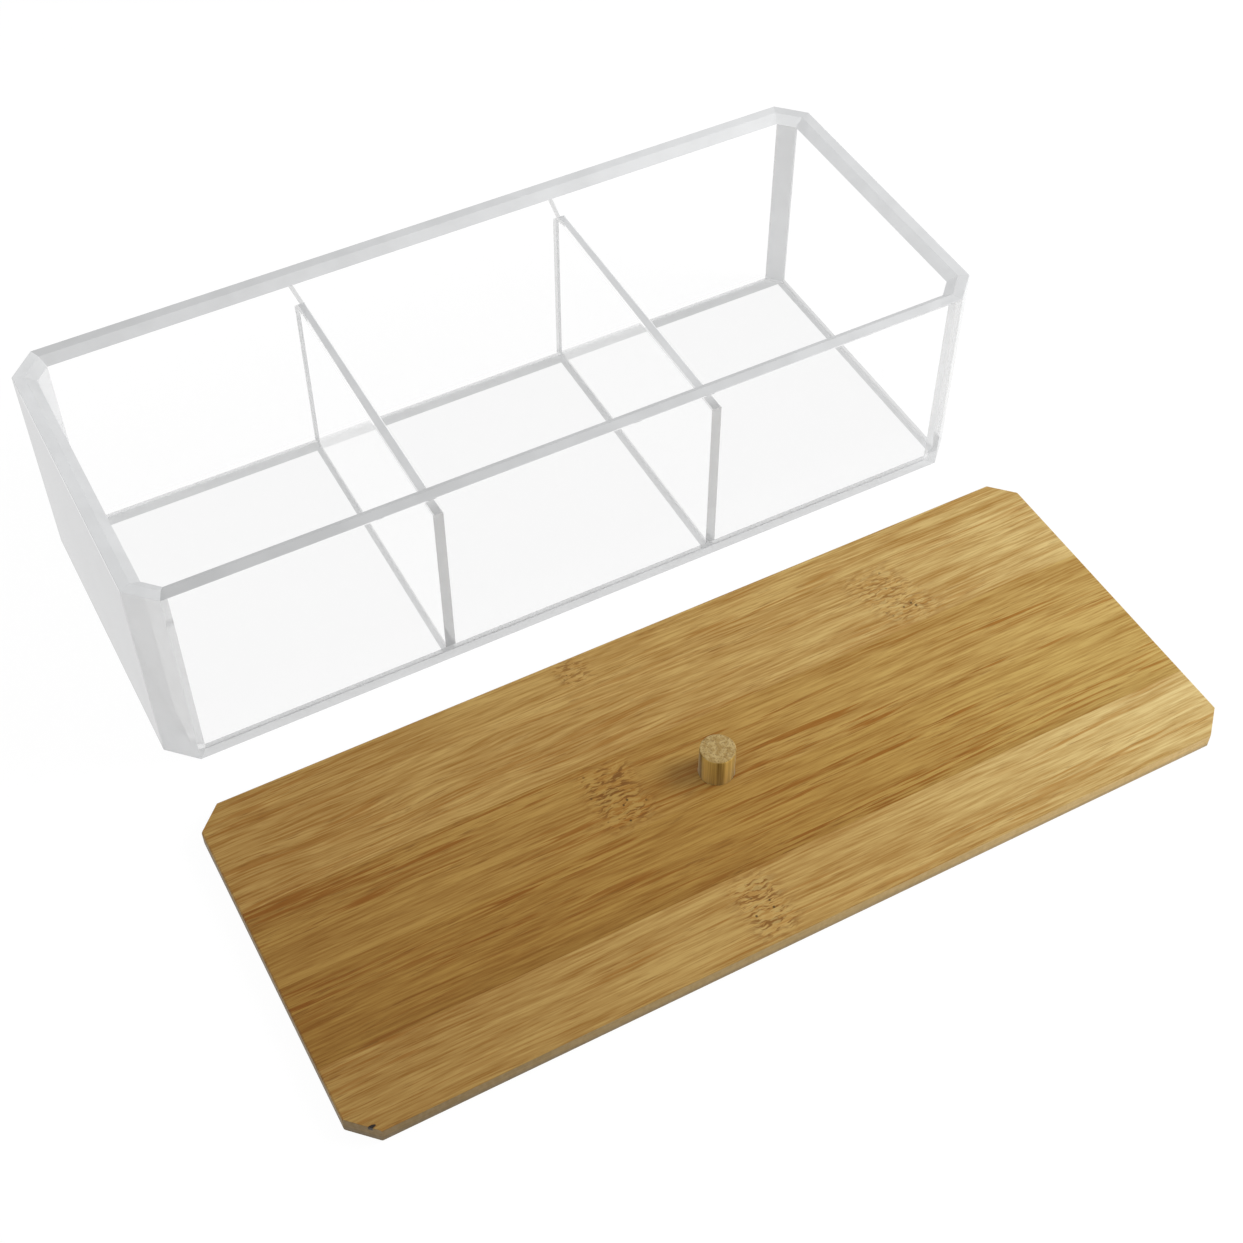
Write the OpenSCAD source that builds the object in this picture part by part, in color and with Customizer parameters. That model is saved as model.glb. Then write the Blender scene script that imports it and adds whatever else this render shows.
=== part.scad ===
// Vanity organizer: a clear box with clipped corners, two dividers and a laminated bamboo lid.
// The origin is the centre of the underside of the box. +X runs along its long side, +Y to its
// back and +Z up. The lid is off the box and lies flat in front of it, with its knob on top.

/* [Box] */
// Length over the two end walls
case_l = 254; // [220:1:300]
// Width over the front and back walls
case_w = 103; // [90:1:125]
// Height from the table to the rim
case_h = 65.5; // [45:0.5:90]
// Leg of each clipped corner, measured along the walls
corner_leg = 7.8; // [6:0.1:14]
// Thickness of the walls and the corner panels
wall_t = 6; // [4:0.1:7]
// Width of the polished bevel on the inner edge of the rim
rim_bevel = 2.8; // [0.5:0.1:3.5]
// Depth of that bevel, down the inner face of the walls
rim_bevel_h = 2; // [0.5:0.1:4]
// Thickness of the floor plate
floor_t = 2; // [1.5:0.1:5]

/* [Dividers] */
// Thickness of each divider
divider_t = 3; // [1.5:0.1:4]
// Depth of the top of the dividers below the rim
divider_drop = 9.5; // [4:0.5:20]
// Clear length of the middle compartment
middle_l = 81.3; // [60:0.1:100]
// Shift of the middle compartment towards the left end
middle_off = 1; // [0:0.1:5]

/* [Lid] */
// Overhang of the lid past each end wall
end_overhang = 2.5; // [0:0.1:5]
// Overhang of the lid past the front and back walls
side_overhang = 1.5; // [0:0.1:4]
// Thickness of the lid
lid_t = 5.3; // [4:0.1:8]
// Leg of each clipped corner of the lid
lid_leg = 7.1; // [6:0.1:14]
// Leg of the small bevel that eases the four long and short edges of the lid
lid_ease = 0.4; // [0.2:0.1:1]
// Width of a whole strip of the laminated board
strip_w = 24.5; // [20:0.5:26]
// Width of the cut strip along the back edge
back_strip_w = 10.8; // [6:0.2:16]

/* [Knob] */
// Diameter of the dowel that makes the knob
knob_d = 9.8; // [6:0.1:16]
// Height of the knob above the lid
knob_h = 9.7; // [6:0.1:16]
// Leg of the small bevel round the top of the knob
knob_ease = 0.3; // [0.1:0.1:0.8]
// Depth of the blind hole that the knob is glued in
knob_seat = 3; // [2:0.1:3.5]
// Distance of the knob from the middle of the lid, along its length
knob_off = 1.5; // [0:0.1:4]

/* [Lid on the table] */
// Gap between the front wall of the box and the lid
lid_gap = 19.2; // [5:0.2:60]
// Shift of the lid along the box
lid_shift = 1.3; // [0:0.1:10]

/* [Hidden] */

// Glue gap round the knob in its hole
knob_fit = 0.1;
// Length by which a cutting shape runs past the piece that it cuts
overrun = 1;
// Sides of the round pieces
round_n = 96;

// Share of a wall's thickness that its clipped corner loses from the outer to the inner outline
mitre_share = 2 - sqrt(2);
// Length that runs past every panel and strip, whichever way it lies
full_run = case_l + case_w;

lid_l = case_l + 2 * end_overhang;
lid_w = case_w + 2 * side_overhang;
lid_y = -(case_w / 2 + lid_gap + lid_w / 2);

divider_top = case_h - divider_drop;
divider_h = divider_top - floor_t;
divider_x = middle_l / 2 + divider_t / 2;
inner_w = case_w - 2 * wall_t;

// Edges of the lid's strips, from the back edge of the lid to its front edge
strip_count = 5;
strip_edges = [
    lid_w / 2,
    for (i = [0 : strip_count - 2]) lid_w / 2 - back_strip_w - i * strip_w,
    -lid_w / 2
];

acrylic = [0.84, 0.88, 0.9, 0.55];
divider_acrylic = [0.76, 0.82, 0.86, 0.55];
bamboo_tones = [
    [0.74, 0.57, 0.33], [0.79, 0.63, 0.38], [0.75, 0.58, 0.34], [0.7, 0.52, 0.29], [0.8, 0.63, 0.37]
];
dowel_bamboo = [0.77, 0.62, 0.42];

// Rectangle with its four corners clipped, as eight points from the left end of its front edge
function clipped(l, w, leg) = [
    [-l / 2 + leg, -w / 2], [l / 2 - leg, -w / 2],
    [l / 2, -w / 2 + leg], [l / 2, w / 2 - leg],
    [l / 2 - leg, w / 2], [-l / 2 + leg, w / 2],
    [-l / 2, w / 2 - leg], [-l / 2, -w / 2 + leg]
];

// Distance from the middle of a clipped rectangle to its side k, where side 0 is the front
function reach(l, w, leg, k) = k % 4 == 0 ? w / 2 : k % 4 == 2 ? l / 2 : (l / 2 + w / 2 - leg) / sqrt(2);

outer = clipped(case_l, case_w, corner_leg);
inner = clipped(case_l - 2 * wall_t, inner_w, corner_leg - wall_t * mitre_share);

// Upright section of a wall, with its outer face on the Y axis and the bevel at its inner top edge
wall_section = [
    [-wall_t, 0], [0, 0], [0, case_h], [rim_bevel - wall_t, case_h], [-wall_t, case_h - rim_bevel_h]
];

// Section of the lid board across a pair of sides that lie r from its middle
function board_section(r) = [
    [lid_ease - r, 0], [r - lid_ease, 0], [r, lid_ease], [r, lid_t - lid_ease],
    [r - lid_ease, lid_t], [lid_ease - r, lid_t], [-r, lid_t - lid_ease], [-r, lid_ease]
];

// Prism with its section upright and facing side k of the box, run along that side
module along_side(k) {
    rotate([0, 0, 45 * k - 90])
        translate([0, full_run / 2, 0])
            rotate([90, 0, 0])
                linear_extrude(full_run)
                    children();
}

// Wall or corner panel on side k of the box, mitred to both of its neighbours
module panel(k) {
    next = (k + 1) % 8;
    color(acrylic)
        intersection() {
            linear_extrude(case_h)
                polygon([outer[k], outer[next], inner[next], inner[k]]);
            along_side(k)
                translate([reach(case_l, case_w, corner_leg, k), 0])
                    polygon(wall_section);
        }
}

module front_wall() panel(0);
module corner_front_right() panel(1);
module right_wall() panel(2);
module corner_back_right() panel(3);
module back_wall() panel(4);
module corner_back_left() panel(5);
module left_wall() panel(6);
module corner_front_left() panel(7);

// Floor plate, set inside the walls with its underside level with theirs
module floor_plate() {
    color(acrylic)
        linear_extrude(floor_t)
            polygon(inner);
}

// Divider that stands on the floor plate between the front and back walls, at x
module divider(x) {
    color(divider_acrylic)
        translate([x - divider_t / 2, -inner_w / 2, floor_t])
            cube([divider_t, inner_w, divider_h]);
}

module divider_left() divider(-middle_off - divider_x);
module divider_right() divider(divider_x - middle_off);

// Everything on the lid is drawn about the middle of its underside and put down here
module at_lid() {
    translate([lid_shift, lid_y, 0])
        children();
}

// Whole lid board: a clipped rectangle with the edges along its four sides eased
module lid_board() {
    intersection() {
        linear_extrude(lid_t)
            polygon(clipped(lid_l, lid_w, lid_leg));
        along_side(0)
            polygon(board_section(lid_w / 2));
        along_side(2)
            polygon(board_section(lid_l / 2));
    }
}

// Blind hole in the top of the lid for the knob
module knob_hole() {
    translate([-knob_off, 0, lid_t - knob_seat])
        cylinder(h = knob_seat + overrun, d = knob_d + 2 * knob_fit, $fn = round_n);
}

// Strip i of the lid, counted from 0 at its back edge
module lid_strip(i) {
    color(bamboo_tones[i])
        at_lid()
            difference() {
                intersection() {
                    lid_board();
                    translate([-full_run / 2, strip_edges[i + 1], 0])
                        cube([full_run, strip_edges[i] - strip_edges[i + 1], lid_t]);
                }
                knob_hole();
            }
}

module lid_strip_1() lid_strip(0);
module lid_strip_2() lid_strip(1);
module lid_strip_3() lid_strip(2);
module lid_strip_4() lid_strip(3);
module lid_strip_5() lid_strip(4);

// Knob: a dowel glued upright in the blind hole
module lid_knob() {
    r = knob_d / 2;
    top = knob_seat + knob_h;
    color(dowel_bamboo)
        at_lid()
            translate([-knob_off, 0, lid_t - knob_seat])
                rotate_extrude($fn = round_n)
                    polygon([[0, 0], [r, 0], [r, top - knob_ease], [r - knob_ease, top], [0, top]]);
}

floor_plate();
front_wall();
back_wall();
left_wall();
right_wall();
corner_front_left();
corner_front_right();
corner_back_left();
corner_back_right();
divider_left();
divider_right();
lid_strip_1();
lid_strip_2();
lid_strip_3();
lid_strip_4();
lid_strip_5();
lid_knob();
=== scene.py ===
"""Vanity organizer: a clear acrylic box and its bamboo lid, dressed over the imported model."""

import logging
import math
from collections.abc import Iterable
from dataclasses import dataclass, field
from enum import Enum

import bmesh
import bpy
from mathutils import Matrix, Vector


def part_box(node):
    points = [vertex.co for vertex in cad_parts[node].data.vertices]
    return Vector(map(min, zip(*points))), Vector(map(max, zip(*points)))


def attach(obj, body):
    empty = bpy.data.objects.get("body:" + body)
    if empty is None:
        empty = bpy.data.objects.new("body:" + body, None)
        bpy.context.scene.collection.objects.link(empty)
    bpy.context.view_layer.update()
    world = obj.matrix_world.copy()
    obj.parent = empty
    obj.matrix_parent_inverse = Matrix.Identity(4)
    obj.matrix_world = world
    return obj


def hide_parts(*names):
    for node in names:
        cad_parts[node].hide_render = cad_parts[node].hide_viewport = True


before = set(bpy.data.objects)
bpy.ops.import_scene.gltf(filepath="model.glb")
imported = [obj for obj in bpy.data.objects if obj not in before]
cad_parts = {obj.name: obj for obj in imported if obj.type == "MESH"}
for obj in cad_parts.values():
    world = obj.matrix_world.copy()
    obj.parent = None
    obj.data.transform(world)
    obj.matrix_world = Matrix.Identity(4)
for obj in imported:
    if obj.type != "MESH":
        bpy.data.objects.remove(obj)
log = logging.getLogger("organizer")

Socket = bpy.types.NodeSocket
Pair = tuple[float, float]
Triple = tuple[float, float, float]
Colour = Triple

MM = 0.001
ALONG = Vector((1, 0, 0))
BACK = Vector((0, 1, 0))
UP = Vector((0, 0, 1))

# Part of a normal above which its face looks along an axis, slopes up, or is tilted at all
FACING = 0.9
SLOPING = 0.3
TILTED = 0.01
# Distances within which vertices are merged, a cut snaps to one, and heights count as level
MERGED = 0.002 * MM
SNAPPED = 0.001 * MM
LEVEL = 0.01 * MM
# Steps across every softened edge
EDGE_STEPS = 2
# Octaves of the plain noises, and of those with finer detail in them, and the mean of a noise
SOFT = 2.0
SHARP = 3.0
NOISE_MEAN = 0.5


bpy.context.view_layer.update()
# Half the length and half the width of the clear box
BOX_HALF = (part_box("right_wall")[1].x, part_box("back_wall")[1].y)


@dataclass(frozen=True)
class Noise:
    """Noise with its own grain along each axis, and what its values are mapped to."""

    # Cells a metre along X, Y and Z
    cells: Triple
    seed: float = 0.0
    octaves: float = SOFT
    # Values of the noise between which the result changes, and the results at both
    span: Pair = (0.3, 0.7)
    result: Pair = (0.0, 1.0)
    # Whether the result eases in and out
    smooth: bool = True


class Graph:
    """Node tree that is built up call by call."""

    noise_roughness: float = 0.55
    # How far a seed moves a noise along each axis
    seed_steps: Triple = (1.0, 1.7, 0.6)

    def __init__(self, tree: bpy.types.NodeTree, output: str) -> None:
        """Empty a tree and give it its output.

        Args:
            tree: The tree.
            output: Blender's type name of the output without the leading "ShaderNode".
        """
        self.tree = tree
        self.tree.nodes.clear()
        self.output = self.tree.nodes.new("ShaderNode" + output)

    def node(self, kind: str, settings: dict | None = None, **inputs: object) -> bpy.types.Node:
        """Add a node, and set or link its inputs.

        Args:
            kind: Blender's type name without the leading "ShaderNode".
            settings: Properties of the node itself.
            **inputs: Values or source sockets, by input name with "_" for each space, or iN for
                input N.

        Returns:
            The new node.
        """
        made = self.tree.nodes.new("ShaderNode" + kind)
        for key, value in (settings or {}).items():
            setattr(made, key, value)
        for key, value in inputs.items():
            numbered = key[0] == "i" and key[1:].isdigit()
            socket = made.inputs[int(key[1:]) if numbered else key.replace("_", " ")]
            if isinstance(value, Socket):
                self.tree.links.new(value, socket)
            else:
                socket.default_value = value
        return made

    def math(self, operation: str, *values: float | Socket) -> Socket:
        """Add a Math node, by Blender's name of the operation, and give its result."""
        inputs = {f"i{n}": value for n, value in enumerate(values)}
        return self.node("Math", {"operation": operation}, **inputs).outputs[0]

    def total(self, *parts: tuple[Socket, float]) -> Socket:
        """Add up sockets, each times its share.

        Args:
            *parts: Two or more sockets with their shares.

        Returns:
            The sum's socket.
        """
        *rest, added = [self.math("MULTIPLY", socket, share) for socket, share in parts]
        for part in reversed(rest):
            added = self.math("ADD", part, added)
        return added

    def place(self, scale: Triple = (1, 1, 1), shift: Triple = (0, 0, 0)) -> Socket:
        """Give the place on the piece, scaled axis by axis and then shifted."""
        at = self.node("TexCoord").outputs["Object"]
        return self.node("Mapping", Vector=at, Scale=scale, Location=shift).outputs[0]

    def noise(self, noise: Noise, seed: float = 0.0, bend: Socket | None = None) -> Socket:
        """Add noise and leave its values as they are.

        Args:
            noise: The noise. Its span and its result aren't used.
            seed: What is added to its own seed.
            bend: Vector added to the place before it is scaled, if any.

        Returns:
            The noise's value, about 0.5 on average.
        """
        at = self.node("TexCoord").outputs["Object"]
        if bend is not None:
            at = self.node("VectorMath", {"operation": "ADD"}, i0=at, i1=bend).outputs[0]
        shift = tuple((noise.seed + seed) * step for step in self.seed_steps)
        at = self.node("Mapping", Vector=at, Scale=noise.cells, Location=shift).outputs[0]
        rough = self.noise_roughness
        made = self.node("TexNoise", Vector=at, Scale=1.0, Detail=noise.octaves, Roughness=rough)
        return made.outputs[0]

    def layer(
        self, noise: Noise, seed: float = 0.0, bend: Socket | None = None, gain: float = 1.0
    ) -> Socket:
        """Add noise and map its values from its span to its result.

        Args:
            noise: The noise.
            seed: What is added to its own seed.
            bend: Vector added to the place before it is scaled, if any.
            gain: Factor on its result.

        Returns:
            The mapped value's socket.
        """
        low, high = noise.result
        value = self.noise(noise, seed, bend)
        return self.ramp(value, noise.span, (low * gain, high * gain), noise.smooth)

    def ramp(
        self, value: Socket, span: Pair, result: Pair = (0.0, 1.0), smooth: bool = True
    ) -> Socket:
        """Map a value from one range to another, and hold it there.

        Args:
            value: Source socket.
            span: Values between which the result changes.
            result: Results at both.
            smooth: Whether the result eases in and out.

        Returns:
            The result's socket.
        """
        settings = {"interpolation_type": "SMOOTHSTEP" if smooth else "LINEAR", "clamp": True}
        ends = dict(zip(("i1", "i2", "i3", "i4"), (*span, *result)))
        return self.node("MapRange", settings, i0=value, **ends).outputs[0]

    def blend(
        self, factor: float | Socket, a: Colour | Socket, b: Colour | Socket, kind: str = "MIX"
    ) -> Socket:
        """Mix two colours.

        Args:
            factor: Share of the second colour.
            a: First colour, or its socket.
            b: Second colour, or its socket.
            kind: Blender's name of the blend.

        Returns:
            The colour's socket.
        """
        first, second = (end if isinstance(end, Socket) else (*end, 1.0) for end in (a, b))
        # A Mix node's inputs 6 and 7 and its output 2 are those for colours
        settings = {"data_type": "RGBA", "blend_type": kind}
        return self.node("Mix", settings, i0=factor, i6=first, i7=second).outputs[2]

    def colour(self, red: Socket, green: Socket, blue: Socket) -> Socket:
        """Join three values into a colour."""
        return self.node("CombineColor", Red=red, Green=green, Blue=blue).outputs[0]

    def vector(self, x: float | Socket, y: float | Socket, z: float | Socket) -> Socket:
        """Join three values into a vector."""
        return self.node("CombineXYZ", i0=x, i1=y, i2=z).outputs[0]

    def pores(self, per_metre: float, randomness: float, shift_x: float = 0.0) -> Socket:
        """Scatter points, and give the distance to the nearest of them.

        Args:
            per_metre: Points along a metre.
            randomness: How far they leave an even grid, from 0 to 1.
            shift_x: Shift of the points along X.

        Returns:
            The distance, as a share of the mean distance between points.
        """
        at = self.place(shift=(shift_x, 0, 0))
        settings = {"feature": "F1"}
        made = self.node("TexVoronoi", settings, Vector=at, Scale=per_metre, Randomness=randomness)
        return made.outputs["Distance"]

    def finish(self, shader: bpy.types.Node) -> None:
        """Link the last shader to the output."""
        self.tree.links.new(shader.outputs[0], self.output.inputs[0])


class MaterialGraph(Graph):
    """Graph of a new material."""

    def __init__(self, name: str) -> None:
        """Make the material and start its graph.

        Args:
            name: Name of the material.
        """
        self.material = bpy.data.materials.new(name)
        self.material.use_nodes = True
        super().__init__(self.material.node_tree, "OutputMaterial")

    def finish(self, shader: bpy.types.Node) -> bpy.types.Material:
        """Link the last shader to the output, and give the material."""
        super().finish(shader)
        return self.material


@dataclass(frozen=True)
class ClearFace:
    """Polished face of clear sheet, with faint wiping marks and a painted grey shade that comes in when
    the face is seen edge on.
    """

    name: str = "acrylic_clear"
    tint: Colour = (1.0, 1.0, 1.0)
    index: float = 1.49
    # Painted shade: grey colour of the face seen edge on, standing in for the shaded floor seen through
    # it, and the range of facing over which it comes in
    painted_edge_on_shade: Colour = (0.42, 0.425, 0.44)
    edge_span: Pair = (0.83, 0.90)
    facing_blend: float = 0.5
    # Roughness where the face was wiped, and the uneven depth of the painted edge-on shade
    marks: Noise = Noise((60, 60, 60), 3.1, SHARP, (0.45, 0.8), (0.0, 0.015))
    cloud: Noise = Noise((70, 70, 40), 5.2, result=(0.9, 1.1))

    def build(self) -> bpy.types.Material:
        """Make the material.

        Returns:
            The material.
        """
        g = MaterialGraph(self.name)
        facing = g.node("LayerWeight", Blend=self.facing_blend).outputs["Facing"]
        # The face turns to painted grey shade as it is seen more nearly edge on
        painted_shade_share = g.ramp(facing, self.edge_span)
        grey = g.blend(g.layer(self.cloud), (0.0, 0.0, 0.0), self.painted_edge_on_shade)
        shader = g.node(
            "BsdfPrincipled",
            Base_Color=g.blend(painted_shade_share, self.tint, grey),
            IOR=self.index,
            Roughness=g.layer(self.marks),
            Transmission_Weight=g.math("SUBTRACT", 1.0, painted_shade_share),
        )
        return g.finish(shader)


@dataclass(frozen=True)
class HazyFace:
    """Face that is bonded, sawn or left satin, so that it shows as a soft grey, with painted light and
    shade that grow along and across the box.
    """

    name: str
    grey: float
    cover: float
    # Painted light and shade: growth of the grey over half the length and half the width of the box, as
    # shares
    along: float = 0.0
    across: float = 0.0
    # How far the grey wanders to either side, and the noise that it follows
    spread: float = 0.025
    cloud: Noise = Noise((90, 90, 60), 7.7)
    # What the grey loses in red and gains in blue, as a share
    cool: float = 0.01
    roughness: float = 0.5
    shine: float = 0.0

    def build(self) -> bpy.types.Material:
        """Make the material.

        Returns:
            The material.
        """
        g = MaterialGraph(self.name)
        greys = (self.grey - self.spread, self.grey + self.spread)
        tone = g.ramp(g.noise(self.cloud), self.cloud.span, greys)
        # Painted light and shade: the grey grows or falls along and across the box, following how the
        # light falls
        at = g.node("SeparateXYZ", Vector=g.place())
        for axis, share in enumerate((self.along, self.across)):
            if share:
                growth = g.math("MULTIPLY", at.outputs[axis], share / BOX_HALF[axis])
                tone = g.math("MULTIPLY", tone, g.math("ADD", 1.0, growth))
        red = g.math("MULTIPLY", tone, 1 - self.cool)
        blue = g.math("MULTIPLY", tone, 1 + self.cool)
        shader = g.node(
            "BsdfPrincipled",
            Base_Color=g.colour(red, tone, blue),
            Roughness=self.roughness,
            Alpha=self.cover,
            Specular_IOR_Level=self.shine,
        )
        return g.finish(shader)


class Face(Enum):
    """Kinds of face of the clear box, in the order of their finishes."""

    CLEAR = 0
    PLATE = 1
    RIM = 2
    BEVEL = 3
    TOP = 4
    ARRIS = 5
    MITRE = 6
    CORNER = 7
    SEAM = 8
    END = 9
    FOOT = 10
    FOOT_SHADOW = 11
    END_RIM = 12
    PALE_BOND = 13
    END_BEVEL = 14
    FRONT_SEAM = 15
    REFLECTION_RUN = 16


@dataclass(frozen=True)
class AcrylicFinish:
    """The finishes of the clear box, one for each kind of face and in the order of Face."""

    parts: tuple[ClearFace | HazyFace, ...] = (
        ClearFace(),
        ClearFace("acrylic_plate", tint=(0.945, 0.945, 0.945)),
        # The along and across shares are painted light and shade that fall off over the box
        HazyFace("acrylic_rim", grey=0.635, cover=0.9, along=0.13, across=0.04),
        HazyFace("acrylic_bevel", grey=0.68, cover=0.9, along=0.08, across=0.03),
        HazyFace("acrylic_divider_top", grey=0.64, cover=0.9, along=0.03),
        HazyFace("acrylic_arris", grey=0.85, cover=0.5),
        HazyFace("acrylic_mitre", grey=0.85, cover=0.12),
        HazyFace("acrylic_corner", grey=0.95, cover=0.54, along=-0.04),
        HazyFace("acrylic_seam", grey=0.85, cover=0.12, along=0.08),
        HazyFace("acrylic_divider_end", grey=0.71, cover=0.46, along=0.14, across=0.10),
        HazyFace("acrylic_underside", grey=0.74, cover=0.6, along=0.08),
        # Painted shadow of the walls and dividers on the table, seen through the floor plate
        HazyFace("acrylic_painted_foot_shadow", grey=0.82, cover=0.75, along=-0.03),
        HazyFace("acrylic_end_rim", grey=0.742, cover=0.9, along=-0.10, across=0.03),
        HazyFace("acrylic_pale_bond", grey=0.95, cover=0.30),
        HazyFace("acrylic_end_bevel", grey=0.80, cover=0.9, along=0.06),
        HazyFace("acrylic_front_seam", grey=0.78, cover=0.6, along=0.06),
        # Painted reflection of each divider's back edge on the back wall
        HazyFace("acrylic_painted_reflection_run", grey=0.70, cover=0.6),
    )

    def build(self) -> list[bpy.types.Material]:
        """Make the materials, in the order of Face."""
        return [part.build() for part in self.parts]


def merged_copy(node: str, flat: float = math.radians(0.5)) -> bmesh.types.BMesh:
    """Copy a CAD node's mesh, with its vertices merged and its flat faces joined.

    Args:
        node: Name of the CAD node.
        flat: Greatest angle between faces that are joined.

    Returns:
        The new mesh.
    """
    bm = bmesh.new()
    bm.from_mesh(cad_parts[node].data)
    bmesh.ops.remove_doubles(bm, verts=bm.verts, dist=MERGED)
    bmesh.ops.dissolve_limit(bm, angle_limit=flat, verts=bm.verts, edges=bm.edges)
    bmesh.ops.recalc_face_normals(bm, faces=bm.faces)
    for face in bm.faces:
        face.material_index = 0
    return bm


def looking(bm: bmesh.types.BMesh, direction: Vector) -> list[bmesh.types.BMFace]:
    """Give the faces of a mesh that look in a direction."""
    return [face for face in bm.faces if face.normal.dot(direction) > FACING]


def cut_faces(
    bm: bmesh.types.BMesh, faces: list[bmesh.types.BMFace], at: Vector, normal: Vector
) -> None:
    """Cut faces along a plane.

    Args:
        bm: Mesh that holds the faces.
        faces: Faces to cut.
        at: Point on the plane.
        normal: Normal of the plane.
    """
    edges = {edge for face in faces for edge in face.edges}
    verts = {vert for face in faces for vert in face.verts}
    parts = [*faces, *edges, *verts]
    bmesh.ops.bisect_plane(bm, geom=parts, dist=SNAPPED, plane_co=at, plane_no=normal)


def soften(
    bm: bmesh.types.BMesh, edges: list[bmesh.types.BMEdge], width: float, material: int = -1
) -> None:
    """Round edges off.

    Args:
        bm: Mesh that holds the edges.
        edges: Edges to round off.
        width: Distance from an edge to where its rounding starts.
        material: Material index of the new faces, or -1 for that of their neighbours.
    """
    bmesh.ops.bevel(
        bm,
        geom=edges,
        offset=width,
        offset_type="OFFSET",
        segments=EDGE_STEPS,
        profile=0.5,
        affect="EDGES",
        clamp_overlap=True,
        material=material,
    )


def add_piece(
    name: str,
    bm: bmesh.types.BMesh,
    materials: list[bpy.types.Material],
    node: str,
    body: str,
) -> bpy.types.Object:
    """Turn a mesh into a piece that stands for a CAD node.

    Args:
        name: Name of the piece.
        bm: The piece's mesh, which is freed.
        materials: Materials that its faces' indices stand for. Those in use become its slots.
        node: CAD node that it stands for.
        body: CAD body that it rides on.

    Returns:
        The new object.
    """
    used = sorted({face.material_index for face in bm.faces})
    for face in bm.faces:
        face.material_index = used.index(face.material_index)
    mesh = bpy.data.meshes.new(name)
    bm.to_mesh(mesh)
    bm.free()
    for index in used:
        mesh.materials.append(materials[index])
    piece = bpy.data.objects.new(name, mesh)
    bpy.context.scene.collection.objects.link(piece)
    # The clear sheets mirror the plain studio alone, as in the clean photograph
    piece.visible_glossy = False
    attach(piece, body)
    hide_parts(node)
    log.info("%s: %d faces", name, len(mesh.polygons))
    return piece


@dataclass(frozen=True)
class PaintedReflectionRun:
    """Thin straight painted reflection of a divider's back edge on the back wall, from the divider's back
    end up to the bevel.
    """

    foot: Vector
    top: Vector
    width: float

    def holds(self, point: Vector) -> bool:
        """Tell whether a point of the wall lies in the run.

        Args:
            point: The point.

        Returns:
            Whether it lies between the run's two sides and above its foot.
        """
        share = (point.z - self.foot.z) / (self.top.z - self.foot.z)
        middle_x = self.foot.x + share * (self.top.x - self.foot.x)
        return share > 0 and abs(point.x - middle_x) < self.width / 2


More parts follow.
